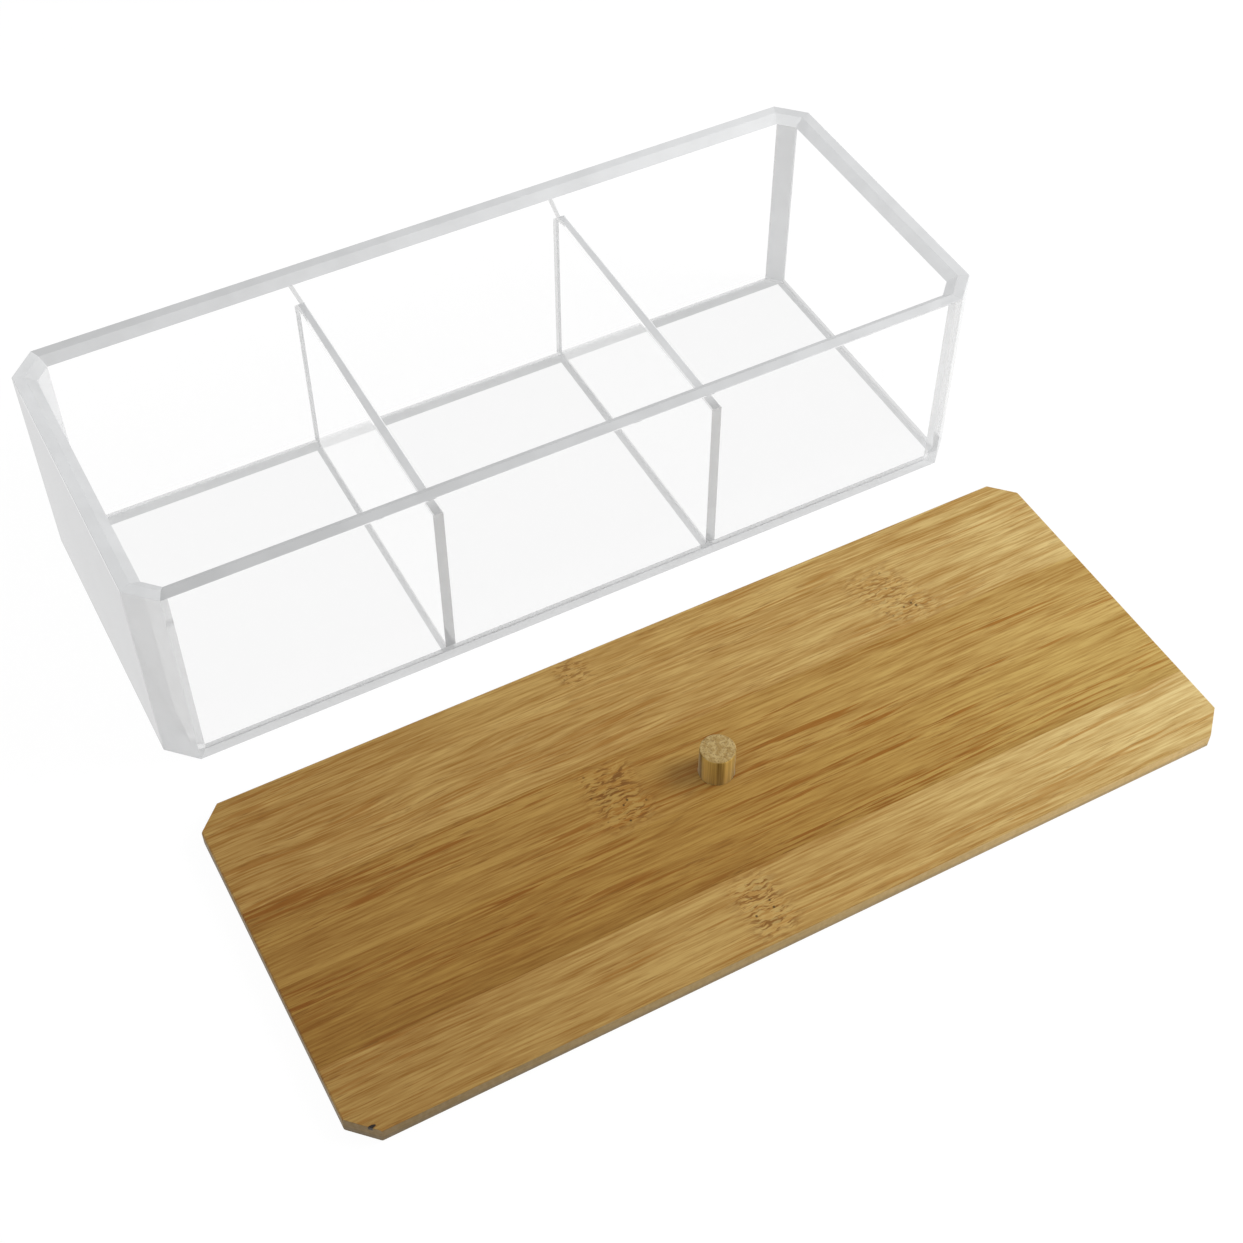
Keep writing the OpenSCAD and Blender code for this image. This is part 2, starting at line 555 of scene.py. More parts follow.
@dataclass
class ClearBox:
    """Box of clear sheet: eight mitred panels, a floor plate and two dividers."""

    finish: AcrylicFinish = field(default_factory=AcrylicFinish)
    body: str = "box"
    slot: str = "clear_acrylic"
    # The panels, from the front one on and anticlockwise, each turned by the same angle
    panels: tuple[str, ...] = (
        "front_wall",
        "corner_front_right",
        "right_wall",
        "corner_back_right",
        "back_wall",
        "corner_back_left",
        "left_wall",
        "corner_front_left",
    )
    # Width of the glue line between bonded faces
    bond_gap: float = 0.02 * MM
    # Size of the polish on the outer edges, and on the top edges of the dividers
    polish: float = 0.25 * MM
    divider_polish: float = 0.35 * MM
    # Width of the painted shadow on the underside of the floor plate, where the walls shade the table:
    # along the back, along the front and at both ends
    back_shadow_w: float = 3.6 * MM
    front_shadow_w: float = 0.9 * MM
    end_shadow_w: float = 1.5 * MM
    # How far the dividers' painted shadows reach past them to the left, and stay short of them on the
    # right, as the light comes from the back right
    shadow_past: float = 1.15 * MM
    shadow_short: float = 0.05 * MM
    # Width of the outer part of the back wall's underside that is clear
    back_clear_w: float = 2.3 * MM
    # Glue to the left of the back end of the left and of the right divider: how wide it is on the
    # back wall, and on the divider's own side
    glue_run: Pair = (0.2 * MM, 0.9 * MM)
    side_run: Pair = (3.8 * MM, 1.9 * MM)
    # Thin painted reflection of each divider's back edge, from its back end up to the bevel: its width,
    # how far it leans to the left, how far its foot lies from the divider's right side, and how far it can
    # reach
    run_w: float = 1.3 * MM
    run_lean: float = 2.6 * MM
    run_from: Pair = (0.9 * MM, 2.1 * MM)
    run_reach: float = 6.0 * MM
    # Width of the clear polish along the left of a divider's top at its back, and where it starts
    top_polish: float = 0.9 * MM
    top_polish_y: float = -10 * MM

    def __post_init__(self) -> None:
        """Read the places that the sizes are measured from."""
        self.inner_low, self.inner_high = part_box("floor_plate")
        self.back_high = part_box("back_wall")[1]
        self.dividers = [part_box("divider_left"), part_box("divider_right")]
        self.divider_top = self.dividers[0][1].z
        self.runs: list[PaintedReflectionRun] = []

    def build(self) -> list[bpy.types.Object]:
        """Build the box.

        Returns:
            Its pieces.
        """
        self.materials = self.finish.build()
        made = []
        for number, node in enumerate(self.panels):
            turn = math.tau * number / len(self.panels) - math.pi / 2
            made.append(self.panel(node, Vector((math.cos(turn), math.sin(turn), 0))))
        made.append(self.floor_plate())
        made.append(self.divider("divider_left", self.side_run[0]))
        made.append(self.divider("divider_right", self.side_run[1]))
        return made

    def panel(self, node: str, out: Vector) -> bpy.types.Object:
        """Build a wall or a corner panel.

        Args:
            node: Its CAD node.
            out: Direction that its outer face looks in.

        Returns:
            The piece.
        """
        bm = merged_copy(node)
        cut_faces(bm, looking(bm, -out), self.inner_high, UP)
        if abs(out.y) > FACING:
            for x in (x for pair in self._feet(out) for x in pair):
                cut_faces(bm, self._upper_inner(bm, out), ALONG * x, ALONG)
            cut_faces(bm, self._footprints(bm, out), UP * self.divider_top, UP)
        if out.y > FACING:
            self._cut_runs(bm, out)
            cut_faces(bm, looking(bm, -UP), self.back_high - BACK * self.back_clear_w, BACK)
        for face in bm.faces:
            face.material_index = self._face_of_panel(face, out).value
        self._part_ends(bm, out)
        soften(bm, [edge for edge in bm.edges if self._is_outer_edge(edge, out)], self.polish)
        return add_piece("sheet_" + node, bm, self.materials, node, self.body)

    def _face_of_panel(self, face: bmesh.types.BMFace, out: Vector) -> Face:
        """Say what kind of face of a panel this is.

        Args:
            face: The face.
            out: Direction that the panel's outer face looks in.

        Returns:
            Its kind.
        """
        n = face.normal
        at = face.calc_center_median()
        long_wall = abs(out.y) > FACING
        sheet = Face.CLEAR if max(abs(out.x), abs(out.y)) > FACING else Face.CORNER
        if n.z > FACING:
            return Face.RIM if long_wall else Face.END_RIM
        if n.z > SLOPING:
            return Face.BEVEL if long_wall else Face.END_BEVEL
        if n.z < -FACING:
            if out.y < FACING:
                return Face.FOOT
            return Face.CLEAR if at.y > self.back_high.y - self.back_clear_w else Face.PALE_BOND
        if n.dot(out) > FACING:
            return sheet
        if n.dot(out) > -FACING:
            return Face.MITRE
        if at.z < self.inner_high.z:
            return Face.FRONT_SEAM if out.y < -FACING else Face.SEAM
        if long_wall and at.z < self.divider_top and self._is_bonded(at.x, out):
            return Face.END
        # Painted reflection of a divider's back edge
        if out.y > FACING and any(run.holds(at) for run in self.runs):
            return Face.REFLECTION_RUN
        return sheet

    def _feet(self, out: Vector) -> list[Pair]:
        """Give the left and right end of each stretch of a long wall that a divider or its glue covers."""
        runs = self.glue_run if out.y > 0 else (0.0, 0.0)
        return [(low.x - run, high.x) for run, (low, high) in zip(runs, self.dividers)]

    def _is_bonded(self, x: float, out: Vector) -> bool:
        """Tell whether a divider's end or its glue covers this place of a long wall."""
        return any(left < x < right for left, right in self._feet(out))

    def _upper_inner(self, bm: bmesh.types.BMesh, out: Vector) -> list[bmesh.types.BMFace]:
        """Give the faces on the inside of a panel that lie above the floor plate."""
        faces = looking(bm, -out)
        return [face for face in faces if face.calc_center_median().z > self.inner_high.z]

    def _footprints(self, bm: bmesh.types.BMesh, out: Vector) -> list[bmesh.types.BMFace]:
        """Give the faces on the inside of a long wall behind and over the dividers' ends."""
        faces = self._upper_inner(bm, out)
        return [face for face in faces if self._is_bonded(face.calc_center_median().x, out)]

    def _cut_runs(self, bm: bmesh.types.BMesh, out: Vector) -> None:
        """Cut the outlines of the thin painted reflections into the back wall's inner face.

        Args:
            bm: The wall's mesh.
            out: Direction that its outer face looks in.
        """
        inner_top = max(v.co.z for face in self._upper_inner(bm, out) for v in face.verts)
        for (_, high), away in zip(self.dividers, self.run_from):
            left_x = high.x - self.run_reach
            cut_faces(bm, self._upper_inner(bm, out), ALONG * left_x, ALONG)
            cut_faces(bm, self._column(bm, out, left_x, high.x), high, UP)
            foot = high - ALONG * away
            rise = Vector((-self.run_lean, 0, inner_top - high.z))
            for side in (-self.run_w / 2, self.run_w / 2):
                column = self._column(bm, out, left_x, high.x)
                above = [face for face in column if face.calc_center_median().z > high.z]
                cut_faces(bm, above, foot + ALONG * side, BACK.cross(rise))
            self.runs.append(PaintedReflectionRun(foot, foot + rise, self.run_w))

    def _column(
        self, bm: bmesh.types.BMesh, out: Vector, left_x: float, right_x: float
    ) -> list[bmesh.types.BMFace]:
        """Give the upper faces on the inside of a long wall that lie in a stretch of it."""
        faces = self._upper_inner(bm, out)
        return [face for face in faces if left_x < face.calc_center_median().x < right_x]

    def _part_ends(self, bm: bmesh.types.BMesh, out: Vector) -> None:
        """Draw a panel's two mitred ends back by half a glue line.

        Args:
            bm: The panel's mesh.
            out: Direction that its outer face looks in.
        """
        along = UP.cross(out)
        middle = sum((vert.co for vert in bm.verts), Vector()) / len(bm.verts)
        mitres = [f for f in bm.faces if abs(f.normal.dot(out)) < FACING and abs(f.normal.z) < SLOPING]
        for vert in {vert for face in mitres for vert in face.verts}:
            side = math.copysign(1, (vert.co - middle).dot(along))
            vert.co -= along * side * self.bond_gap / 2

    @staticmethod
    def _is_outer_edge(edge: bmesh.types.BMEdge, out: Vector) -> bool:
        """Tell whether an edge lies between the outer face and the rim or the underside.

        Args:
            edge: The edge.
            out: Direction that the panel's outer face looks in.

        Returns:
            Whether it does.
        """
        if len(edge.link_faces) != 2:
            return False
        a, b = (face.normal for face in edge.link_faces)
        return max(abs(a.z), abs(b.z)) > FACING and max(a.dot(out), b.dot(out)) > FACING

    def floor_plate(self) -> bpy.types.Object:
        """Build the floor plate, with painted shadow on its underside along what stands on it.

        Returns:
            The piece.
        """
        bm = merged_copy("floor_plate")
        low, high = self.inner_low, self.inner_high
        x_ends = (low.x + self.end_shadow_w, high.x - self.end_shadow_w)
        y_ends = (low.y + self.front_shadow_w, high.y - self.back_shadow_w)
        bands = [(a.x - self.shadow_past, b.x - self.shadow_short) for a, b in self.dividers]
        for x in (*x_ends, *bands[0], *bands[1]):
            cut_faces(bm, looking(bm, -UP), ALONG * x, ALONG)
        for y in y_ends:
            cut_faces(bm, looking(bm, -UP), BACK * y, BACK)
        for face in bm.faces:
            at = face.calc_center_median()
            kind = Face.PLATE if abs(face.normal.z) > FACING else Face.SEAM
            inside = x_ends[0] < at.x < x_ends[1] and y_ends[0] < at.y < y_ends[1]
            under_divider = any(left < at.x < right for left, right in bands)
            # Painted shadow of the walls and dividers on the table under the plate
            if face.normal.z < -FACING and (under_divider or not inside):
                kind = Face.FOOT_SHADOW
            face.material_index = kind.value
        for vert in bm.verts:
            vert.co.x *= 1 - self.bond_gap / high.x
            vert.co.y *= 1 - self.bond_gap / high.y
        node = "floor_plate"
        return add_piece("sheet_" + node, bm, self.materials, node, self.body)

    def divider(self, node: str, glued: float) -> bpy.types.Object:
        """Build a divider.

        Args:
            node: Its CAD node.
            glued: Width of the glue on its left side, along its back end.

        Returns:
            The piece.
        """
        bm = merged_copy(node)
        low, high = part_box(node)
        start = Vector((low.x, self.top_polish_y, high.z))
        right = Vector((self.top_polish, high.y - self.top_polish_y, 0)).cross(UP)
        cut_faces(bm, looking(bm, UP), start, right)
        cut_faces(bm, looking(bm, -ALONG), high - BACK * glued, BACK)
        for face in bm.faces:
            n = face.normal
            at = face.calc_center_median()
            kind = Face.CLEAR
            if n.z > FACING and (at - start).dot(right) > 0:
                kind = Face.TOP
            elif n.x < -FACING and at.y > high.y - glued:
                kind = Face.PALE_BOND
            elif n.y > FACING:
                kind = Face.MITRE
            elif n.z < -FACING or n.y < -FACING:
                kind = Face.END
            face.material_index = kind.value
        for vert in bm.verts:
            vert.co.y *= 1 - self.bond_gap / high.y
            if vert.co.z < high.z / 2:
                vert.co.z += self.bond_gap
        soften(bm, self._long_top_edges(bm, high.z), self.divider_polish, Face.ARRIS.value)
        for face in bm.faces:
            n = face.normal
            at = face.calc_center_median()
            softened = abs(n.x) > TILTED and n.z > TILTED
            if softened and at.x < low.x + self.divider_polish and at.y > self.top_polish_y:
                face.material_index = Face.CLEAR.value
        return add_piece("sheet_" + node, bm, self.materials, node, self.body)

    @staticmethod
    def _long_top_edges(bm: bmesh.types.BMesh, top: float) -> list[bmesh.types.BMEdge]:
        """Give a divider's two long top edges.

        Args:
            bm: The divider's mesh.
            top: Height of its top.

        Returns:
            The edges.
        """
        found = []
        for edge in bm.edges:
            a, b = (vert.co for vert in edge.verts)
            if min(a.z, b.z) > top - LEVEL and abs(a.x - b.x) < LEVEL:
                found.append(edge)
        return found


@dataclass(frozen=True)
class StripLook:
    """How one bamboo strip differs from the others. Lengths are in mm from the lid's middle."""

    node: str
    slot: str
    tone: float
    seed: float
    # Place, width, slant and depth of colour of its knot, if it has one
    knot_x: float | None = None
    knot_w: float = 10.0
    knot_slant: float = 0.0
    knot_depth: float = 1.0
    # How far its fibres sway at the left end of the lid
    wave: float = 0.4
    # How much darker it is along its front edge
    dark_front: float = 0.0
    # How much orange-brown streaking there is
    streaks: float = 0.8
    # Painted light along the lid: tone at the left end, in painted shade, and what the right end gains in
    # painted light
    painted_light_drift: Pair = (0.86, 0.27)


@dataclass(frozen=True)
class BambooFinish:
    """Lacquered bamboo, with its fibres along the lid. Places are in mm from the lid's middle."""

    # Middle of the lid, in metres
    middle: Vector
    pale: Colour = (0.585, 0.400, 0.146)
    dark: Colour = (0.340, 0.170, 0.035)
    streak: Colour = (0.340, 0.140, 0.018)
    fleck: Colour = (0.215, 0.090, 0.017)
    light: Colour = (0.610, 0.445, 0.175)
    halo: Colour = (0.480, 0.225, 0.050)
    pore: Colour = (0.095, 0.056, 0.018)
    # Painted shade in the hollow of the chip
    pit: Colour = (0.020, 0.014, 0.010)
    # Colour of the sides at the left end of the lid, in painted shade, and at the right end, in painted
    # light, and along their lower edge
    side_shaded_left: Colour = (0.200, 0.129, 0.045)
    side_lit_right: Colour = (0.71, 0.485, 0.185)
    side_low: Colour = (0.12, 0.105, 0.085)

    # Fibres, broader bands and blotches, with the share that each has in the grain
    fibres: Noise = Noise((75, 1700, 1700), octaves=SHARP)
    bands: Noise = Noise((11, 420, 420), 11)
    blotches: Noise = Noise((16, 60, 60), 23)
    shares: Triple = (0.50, 0.30, 0.20)
    grain_span: Pair = (0.37, 0.60)
    # Sway of the fibres, and where it calms down on its way along the lid, and to what
    sway: Noise = Noise((14, 60, 60), 5, result=(-1.0, 1.0), smooth=False)
    calm_span: Pair = (-20, 30)
    calm_wave: float = 0.4
    # Streaks and dashes, and the clusters that they come in
    clusters: Noise = Noise((12, 130, 130), 67, span=(0.40, 0.60))
    streaking: Noise = Noise((38, 1150, 1150), 71, span=(0.52, 0.62), result=(0.0, 0.9))
    dashes: Noise = Noise((140, 2600, 2600), 31, span=(0.57, 0.69), result=(0.0, 0.5))
    lone_dashes: float = 0.4
    # Knot: where it fades over its own width, and over the strip's width with what is left there
    knot_fade: Pair = (0.25, 0.85)
    knot_fade_across: Pair = (0.28, 0.5)
    knot_at_seam: float = 0.25
    knot_halo: float = 0.22
    curls: Noise = Noise((230, 230, 230), 41, octaves=1.5)
    curl_x: float = 1.5 * MM
    curl_y: float = -2 * MM
    knot_flecks: Noise = Noise((300, 1250, 1250), 47, span=(0.49, 0.57), result=(0.0, 0.85))
    knot_lights: Noise = Noise((300, 1300, 1300), 53, span=(0.50, 0.60), result=(0.0, 0.6))
    # Pores in the knot's core: how many a metre, how scattered, how large and deep they are, and
    # the core's edge
    pores: float = 330.0
    pore_randomness: float = 1.0
    pore_span: Pair = (0.08, 0.17)
    pore_depth: float = 0.95
    core_span: Pair = (0.45, 0.8)
    # Painted light and shade: the tone drifts from the left end to the turn, and from there to the right
    # end
    ends: Pair = (-130, 130)
    turn: float = 10
    # Powers of a tone that give its green and blue: left of the turn, in painted shade, right of it, where
    # the painted light turns paler as a painted sheen, and the whole strip
    left_powers: Pair = (1.3, 1.85)
    right_powers: Pair = (1.6, 2.7)
    tone_powers: Pair = (1.5, 3.05)
    # Darker front edge: how its border wanders, and where it fades, in mm from the strip's edge
    front_wander: Noise = Noise((9, 200, 200), 61)
    front_wander_w: float = 4.0
    front_fade: Pair = (1.5, 9.0)
    # Glue seams: where they fade, in mm from the strip's edge, and their tone
    seam_span: Pair = (0.05, 0.3)
    seam_tone: float = 0.95
    # Chip on the board's front left corner, its hollow painted near black as shade: middle, half length
    # and width, ragged edge, and the heights between which it comes in
    chip: Pair = (-124.2, -50.9)
    chip_half: Pair = (1.25, 0.5)
    chip_rag: Noise = Noise((1500, 1500, 1500), 21.0)
    chip_rag_w: float = 0.5
    chip_edge: Pair = (1.0, 1.3)
    chip_rise: Pair = (3.9, 4.3)
    # Lacquer over the grain: roughness, relief and shine
    grain_rough: Pair = (0.5, 0.38)
    relief: float = 0.06 * MM
    relief_strength: float = 0.35
    dash_relief: float = 0.3
    face_shine: float = 0.2
    # Sawn sides: fibres and specks with their shares, their tones, and the greyer lower edge
    side_fibres: Noise = Noise((30, 30, 1700), 2.0, SHARP)
    side_specks: Noise = Noise((900, 900, 500), 8.0)
    side_shares: Pair = (0.7, 0.3)
    side_span: Pair = (0.35, 0.65)
    side_tones: Pair = (0.86, 0.28)
    low_wander: Noise = Noise((40, 40, 40), 4.0)
    low_wander_w: float = 1.2
    low_span: Pair = (1.0, 2.6)
    low_cover: float = 0.35
    side_rough: Pair = (0.62, 0.5)
    side_shine: float = 0.3

    def _axes(self, g: Graph) -> tuple[Socket, Socket, Socket]:
        """Give the place on the lid in mm from its middle, axis by axis.

        Args:
            g: Graph of the material.

        Returns:
            Sockets of X, of Y and of Z, which is counted from the underside.
        """
        per_mm = 1 / MM
        shift = (-self.middle.x * per_mm, -self.middle.y * per_mm, 0)
        parts = g.node("SeparateXYZ", Vector=g.place((per_mm, per_mm, per_mm), shift))
        return parts.outputs[0], parts.outputs[1], parts.outputs[2]

    def _with_chip(self, g: Graph, colour: Socket, at: tuple[Socket, Socket, Socket]) -> Socket:
        """Lay the small chip at the board's front left corner over a colour, its hollow painted near black
        as shade.

        Args:
            g: Graph of the material.
            colour: The colour.
            at: Place on the lid, axis by axis.

        Returns:
            The colour with the chip.
        """
        x, y, z = at
        long = g.math("DIVIDE", g.math("SUBTRACT", x, self.chip[0]), self.chip_half[0])
        wide = g.math("DIVIDE", g.math("SUBTRACT", y, self.chip[1]), self.chip_half[1])
        squares = g.math("ADD", g.math("MULTIPLY", long, long), g.math("MULTIPLY", wide, wide))
        rag = g.math("MULTIPLY", g.noise(self.chip_rag), self.chip_rag_w)
        away = g.math("ADD", g.math("SQRT", squares), rag)
        inside = g.ramp(away, self.chip_edge, (1.0, 0.0))
        return g.blend(g.math("MULTIPLY", inside, g.ramp(z, self.chip_rise)), colour, self.pit)

    def _with_knot(
        self, g: Graph, colour: Socket, look: StripLook, x: Socket, y: Socket, edges: Pair
    ) -> Socket:
        """Lay a strip's knot over its grain: a halo, curled dark and light flecks, and pores.

        Args:
            g: Graph of the material.
            colour: Colour of the grain.
            look: What sets the strip apart.
            x: Place along the lid.
            y: Place across the lid.
            edges: Front and back edge of the strip.

        Returns:
            The colour with the knot.
        """
        width = edges[1] - edges[0]
        middle = (edges[0] + edges[1]) / 2
        line = g.math("SUBTRACT", x, g.math("MULTIPLY", y, look.knot_slant))
        crossing = look.knot_x - look.knot_slant * middle
        away = g.math("ABSOLUTE", g.math("SUBTRACT", line, crossing))
        fade = tuple(look.knot_w * share for share in self.knot_fade)
        near = g.ramp(away, fade, (1.0, 0.0))
        across = g.math("ABSOLUTE", g.math("SUBTRACT", y, middle))
        fade = tuple(width * share for share in self.knot_fade_across)
        depth = g.ramp(across, fade, (look.knot_depth, self.knot_at_seam))
        near = g.math("MULTIPLY", near, depth)
        curl = g.noise(self.curls, look.seed)
        hook_x = g.math("MULTIPLY", curl, self.curl_x)
        hook = g.vector(hook_x, g.math("MULTIPLY", curl, self.curl_y), 0.0)
        colour = g.blend(g.math("MULTIPLY", near, self.knot_halo), colour, self.halo)
        dark = g.layer(self.knot_flecks, look.seed, hook)
        colour = g.blend(g.math("MULTIPLY", near, dark), colour, self.fleck)
        light = g.layer(self.knot_lights, look.seed, hook)
        colour = g.blend(g.math("MULTIPLY", near, light), colour, self.light)
        cell = g.pores(self.pores, self.pore_randomness, look.seed * MM)
        pore = g.ramp(cell, self.pore_span, (self.pore_depth, 0.0))
        return g.blend(g.math("MULTIPLY", g.ramp(near, self.core_span), pore), colour, self.pore)

    def _with_tone(
        self, g: Graph, colour: Socket, look: StripLook, x: Socket, y: Socket, edges: Pair
    ) -> Socket:
        """Give a strip its own tone, its painted light and shade along the lid, its dark front edge and
        its seams.

        Args:
            g: Graph of the material.
            colour: Colour of the grain.
            look: What sets the strip apart.
            x: Place along the lid.
            y: Place across the lid.
            edges: Front and back edge of the strip.

        Returns:
            The toned colour.
        """
        # Painted shade towards the left end, and painted light that turns paler like a sheen towards the
        # right end
        left, gain = look.painted_light_drift
        fall = g.ramp(x, (self.ends[0], self.turn), (left, 1.0), smooth=False)
        from_front = g.math("SUBTRACT", y, edges[0])
        from_back = g.math("SUBTRACT", edges[1], y)
        if look.dark_front:
            wander = g.math("MULTIPLY", g.noise(self.front_wander, look.seed), self.front_wander_w)
            border = g.math("ADD", from_front, wander)
            shade = g.ramp(border, self.front_fade, (1 - look.dark_front, 1.0))
            fall = g.math("MULTIPLY", fall, shade)
        nearest = g.math("MINIMUM", from_front, from_back)
        fall = g.math("MULTIPLY", fall, g.ramp(nearest, self.seam_span, (self.seam_tone, 1.0)))
        rise = g.ramp(x, (self.turn, self.ends[1]), (1.0, 1.0 + gain), smooth=False)
        for share, powers in ((fall, self.left_powers), (rise, self.right_powers)):
            green, blue = (g.math("POWER", share, power) for power in powers)
            colour = g.blend(1.0, colour, g.colour(share, green, blue), "MULTIPLY")
        green, blue = (look.tone**power for power in self.tone_powers)
        return g.blend(1.0, colour, (look.tone, green, blue), "MULTIPLY")

    def face(self, look: StripLook, edges: Pair) -> bpy.types.Material:
        """Make the material of a strip's faces.

        Args:
            look: What sets this strip apart.
            edges: Front and back edge of the strip.

        Returns:
            The material.
        """
        g = MaterialGraph("bamboo_" + look.node)
        x, y, z = self._axes(g)
        sway = g.layer(self.sway, look.seed)
        wave = g.ramp(x, self.calm_span, (look.wave, self.calm_wave))
        bend = g.vector(0.0, g.math("MULTIPLY", sway, g.math("MULTIPLY", wave, MM)), 0.0)
        fibres = g.noise(self.fibres, look.seed, bend)
        bands = g.noise(self.bands, look.seed, bend)
        blotches = g.noise(self.blotches, look.seed)
        mixed = g.total(*zip((fibres, bands, blotches), self.shares))
        colour = g.blend(g.ramp(mixed, self.grain_span, smooth=False), self.dark, self.pale)
        cluster = g.layer(self.clusters, look.seed, bend)
        streak = g.layer(self.streaking, look.seed, bend, look.streaks)
        colour = g.blend(g.math("MULTIPLY", streak, cluster), colour, self.streak)
        dash = g.layer(self.dashes, look.seed, bend)
        crowd = g.ramp(cluster, (0.0, 1.0), (self.lone_dashes, 1.0))
        colour = g.blend(g.math("MULTIPLY", dash, crowd), colour, self.fleck)
        if look.knot_x is not None:
            colour = self._with_knot(g, colour, look, x, y, edges)
        colour = self._with_tone(g, colour, look, x, y, edges)
        colour = self._with_chip(g, colour, (x, y, z))
        height = g.math("SUBTRACT", mixed, g.math("MULTIPLY", dash, self.dash_relief))
        bump = g.node("Bump", Strength=self.relief_strength, Distance=self.relief, Height=height)
        shader = g.node(
            "BsdfPrincipled",
            Base_Color=colour,
            Roughness=g.ramp(fibres, self.fibres.span, self.grain_rough, smooth=False),
            Normal=bump.outputs[0],
            Specular_IOR_Level=self.face_shine,
        )
        return g.finish(shader)

    def side(self) -> bpy.types.Material:
        """Make the material of the lid's sides: olive-tan, in painted shade to the left and painted light
        to the right, greyer below, with the corner's chip.

        Returns:
            The material.
        """
        g = MaterialGraph("bamboo_side")
        x, y, z = self._axes(g)
        specks = g.noise(self.side_specks)
        mixed = g.total(*zip((g.noise(self.side_fibres), specks), self.side_shares))
        tone = g.ramp(mixed, self.side_span, smooth=False)
        # Painted light: the sides go from shaded at the left end to lit at the right end
        mean = g.blend(g.ramp(x, self.ends, smooth=False), self.side_shaded_left, self.side_lit_right)
        least, gain = self.side_tones
        shade = g.math("ADD", least, g.math("MULTIPLY", tone, gain))
        colour = g.blend(1.0, mean, g.colour(shade, shade, shade), "MULTIPLY")
        swing = g.math("SUBTRACT", g.noise(self.low_wander), NOISE_MEAN)
        height = g.math("ADD", z, g.math("MULTIPLY", swing, self.low_wander_w))
        colour = g.blend(g.ramp(height, self.low_span, (self.low_cover, 0.0)), colour, self.side_low)
        shader = g.node(
            "BsdfPrincipled",
            Base_Color=self._with_chip(g, colour, (x, y, z)),
            Roughness=g.ramp(specks, self.side_specks.span, self.side_rough),
            Specular_IOR_Level=self.side_shine,
        )
        return g.finish(shader)


@dataclass(frozen=True)
class DowelFinish:
    """Turned bamboo dowel, striped along its side and porous on its end."""

    side_dark: Colour = (0.200, 0.115, 0.020)
    side_pale: Colour = (0.66, 0.43, 0.115)
    # Fine and wide stripes along the side, with their shares
    stripes: Noise = Noise((1500, 1500, 25), 1.0, SHARP)
    wide_stripes: Noise = Noise((520, 520, 12), 6.0, octaves=1.0)
    shares: Pair = (0.35, 0.65)
    side_span: Pair = (0.38, 0.60)
    side_rough: Pair = (0.62, 0.5)
    side_shine: float = 0.05
    end_dark: Colour = (0.36, 0.235, 0.080)
    end_pale: Colour = (0.50, 0.365, 0.155)
    pore: Colour = (0.19, 0.115, 0.045)
    # Cloud in the end's colour, and the span over which the same cloud changes its roughness
    cloud: Noise = Noise((700, 700, 700), 9.0, span=(0.35, 0.65))
    rough_span: Pair = (0.3, 0.7)
    # Pores on the end: how many a metre, how scattered, how large and how deep they are
    pores: float = 1900.0
    pore_randomness: float = 0.9
    pore_span: Pair = (0.2, 0.5)
    pore_depth: float = 0.6
    relief: float = 0.08 * MM
    relief_strength: float = 0.4
    end_rough: Pair = (0.7, 0.55)
    end_shine: float = 0.2

    def side(self) -> bpy.types.Material:
        """Make the material of the dowel's side.

        Returns:
            The material.
        """
        g = MaterialGraph("dowel_side")
        stripes = g.noise(self.stripes)
        mixed = g.total(*zip((stripes, g.noise(self.wide_stripes)), self.shares))
        tone = g.ramp(mixed, self.side_span, smooth=False)
        shader = g.node(
            "BsdfPrincipled",
            Base_Color=g.blend(tone, self.side_dark, self.side_pale),
            Roughness=g.ramp(stripes, self.stripes.span, self.side_rough),
            Specular_IOR_Level=self.side_shine,
        )
        return g.finish(shader)

    def end(self) -> bpy.types.Material:
        """Make the material of the dowel's end.

        Returns:
            The material.
        """
        g = MaterialGraph("dowel_end")
        cell = g.pores(self.pores, self.pore_randomness)
        cloud = g.noise(self.cloud)
        colour = g.blend(g.ramp(cloud, self.cloud.span), self.end_dark, self.end_pale)
        pore = g.ramp(cell, self.pore_span, (self.pore_depth, 0.0))
        bump = g.node("Bump", Strength=self.relief_strength, Distance=self.relief, Height=cell)
        shader = g.node(
            "BsdfPrincipled",
            Base_Color=g.blend(pore, colour, self.pore),
            Roughness=g.ramp(cloud, self.rough_span, self.end_rough),
            Normal=bump.outputs[0],
            Specular_IOR_Level=self.end_shine,
        )
        return g.finish(shader)


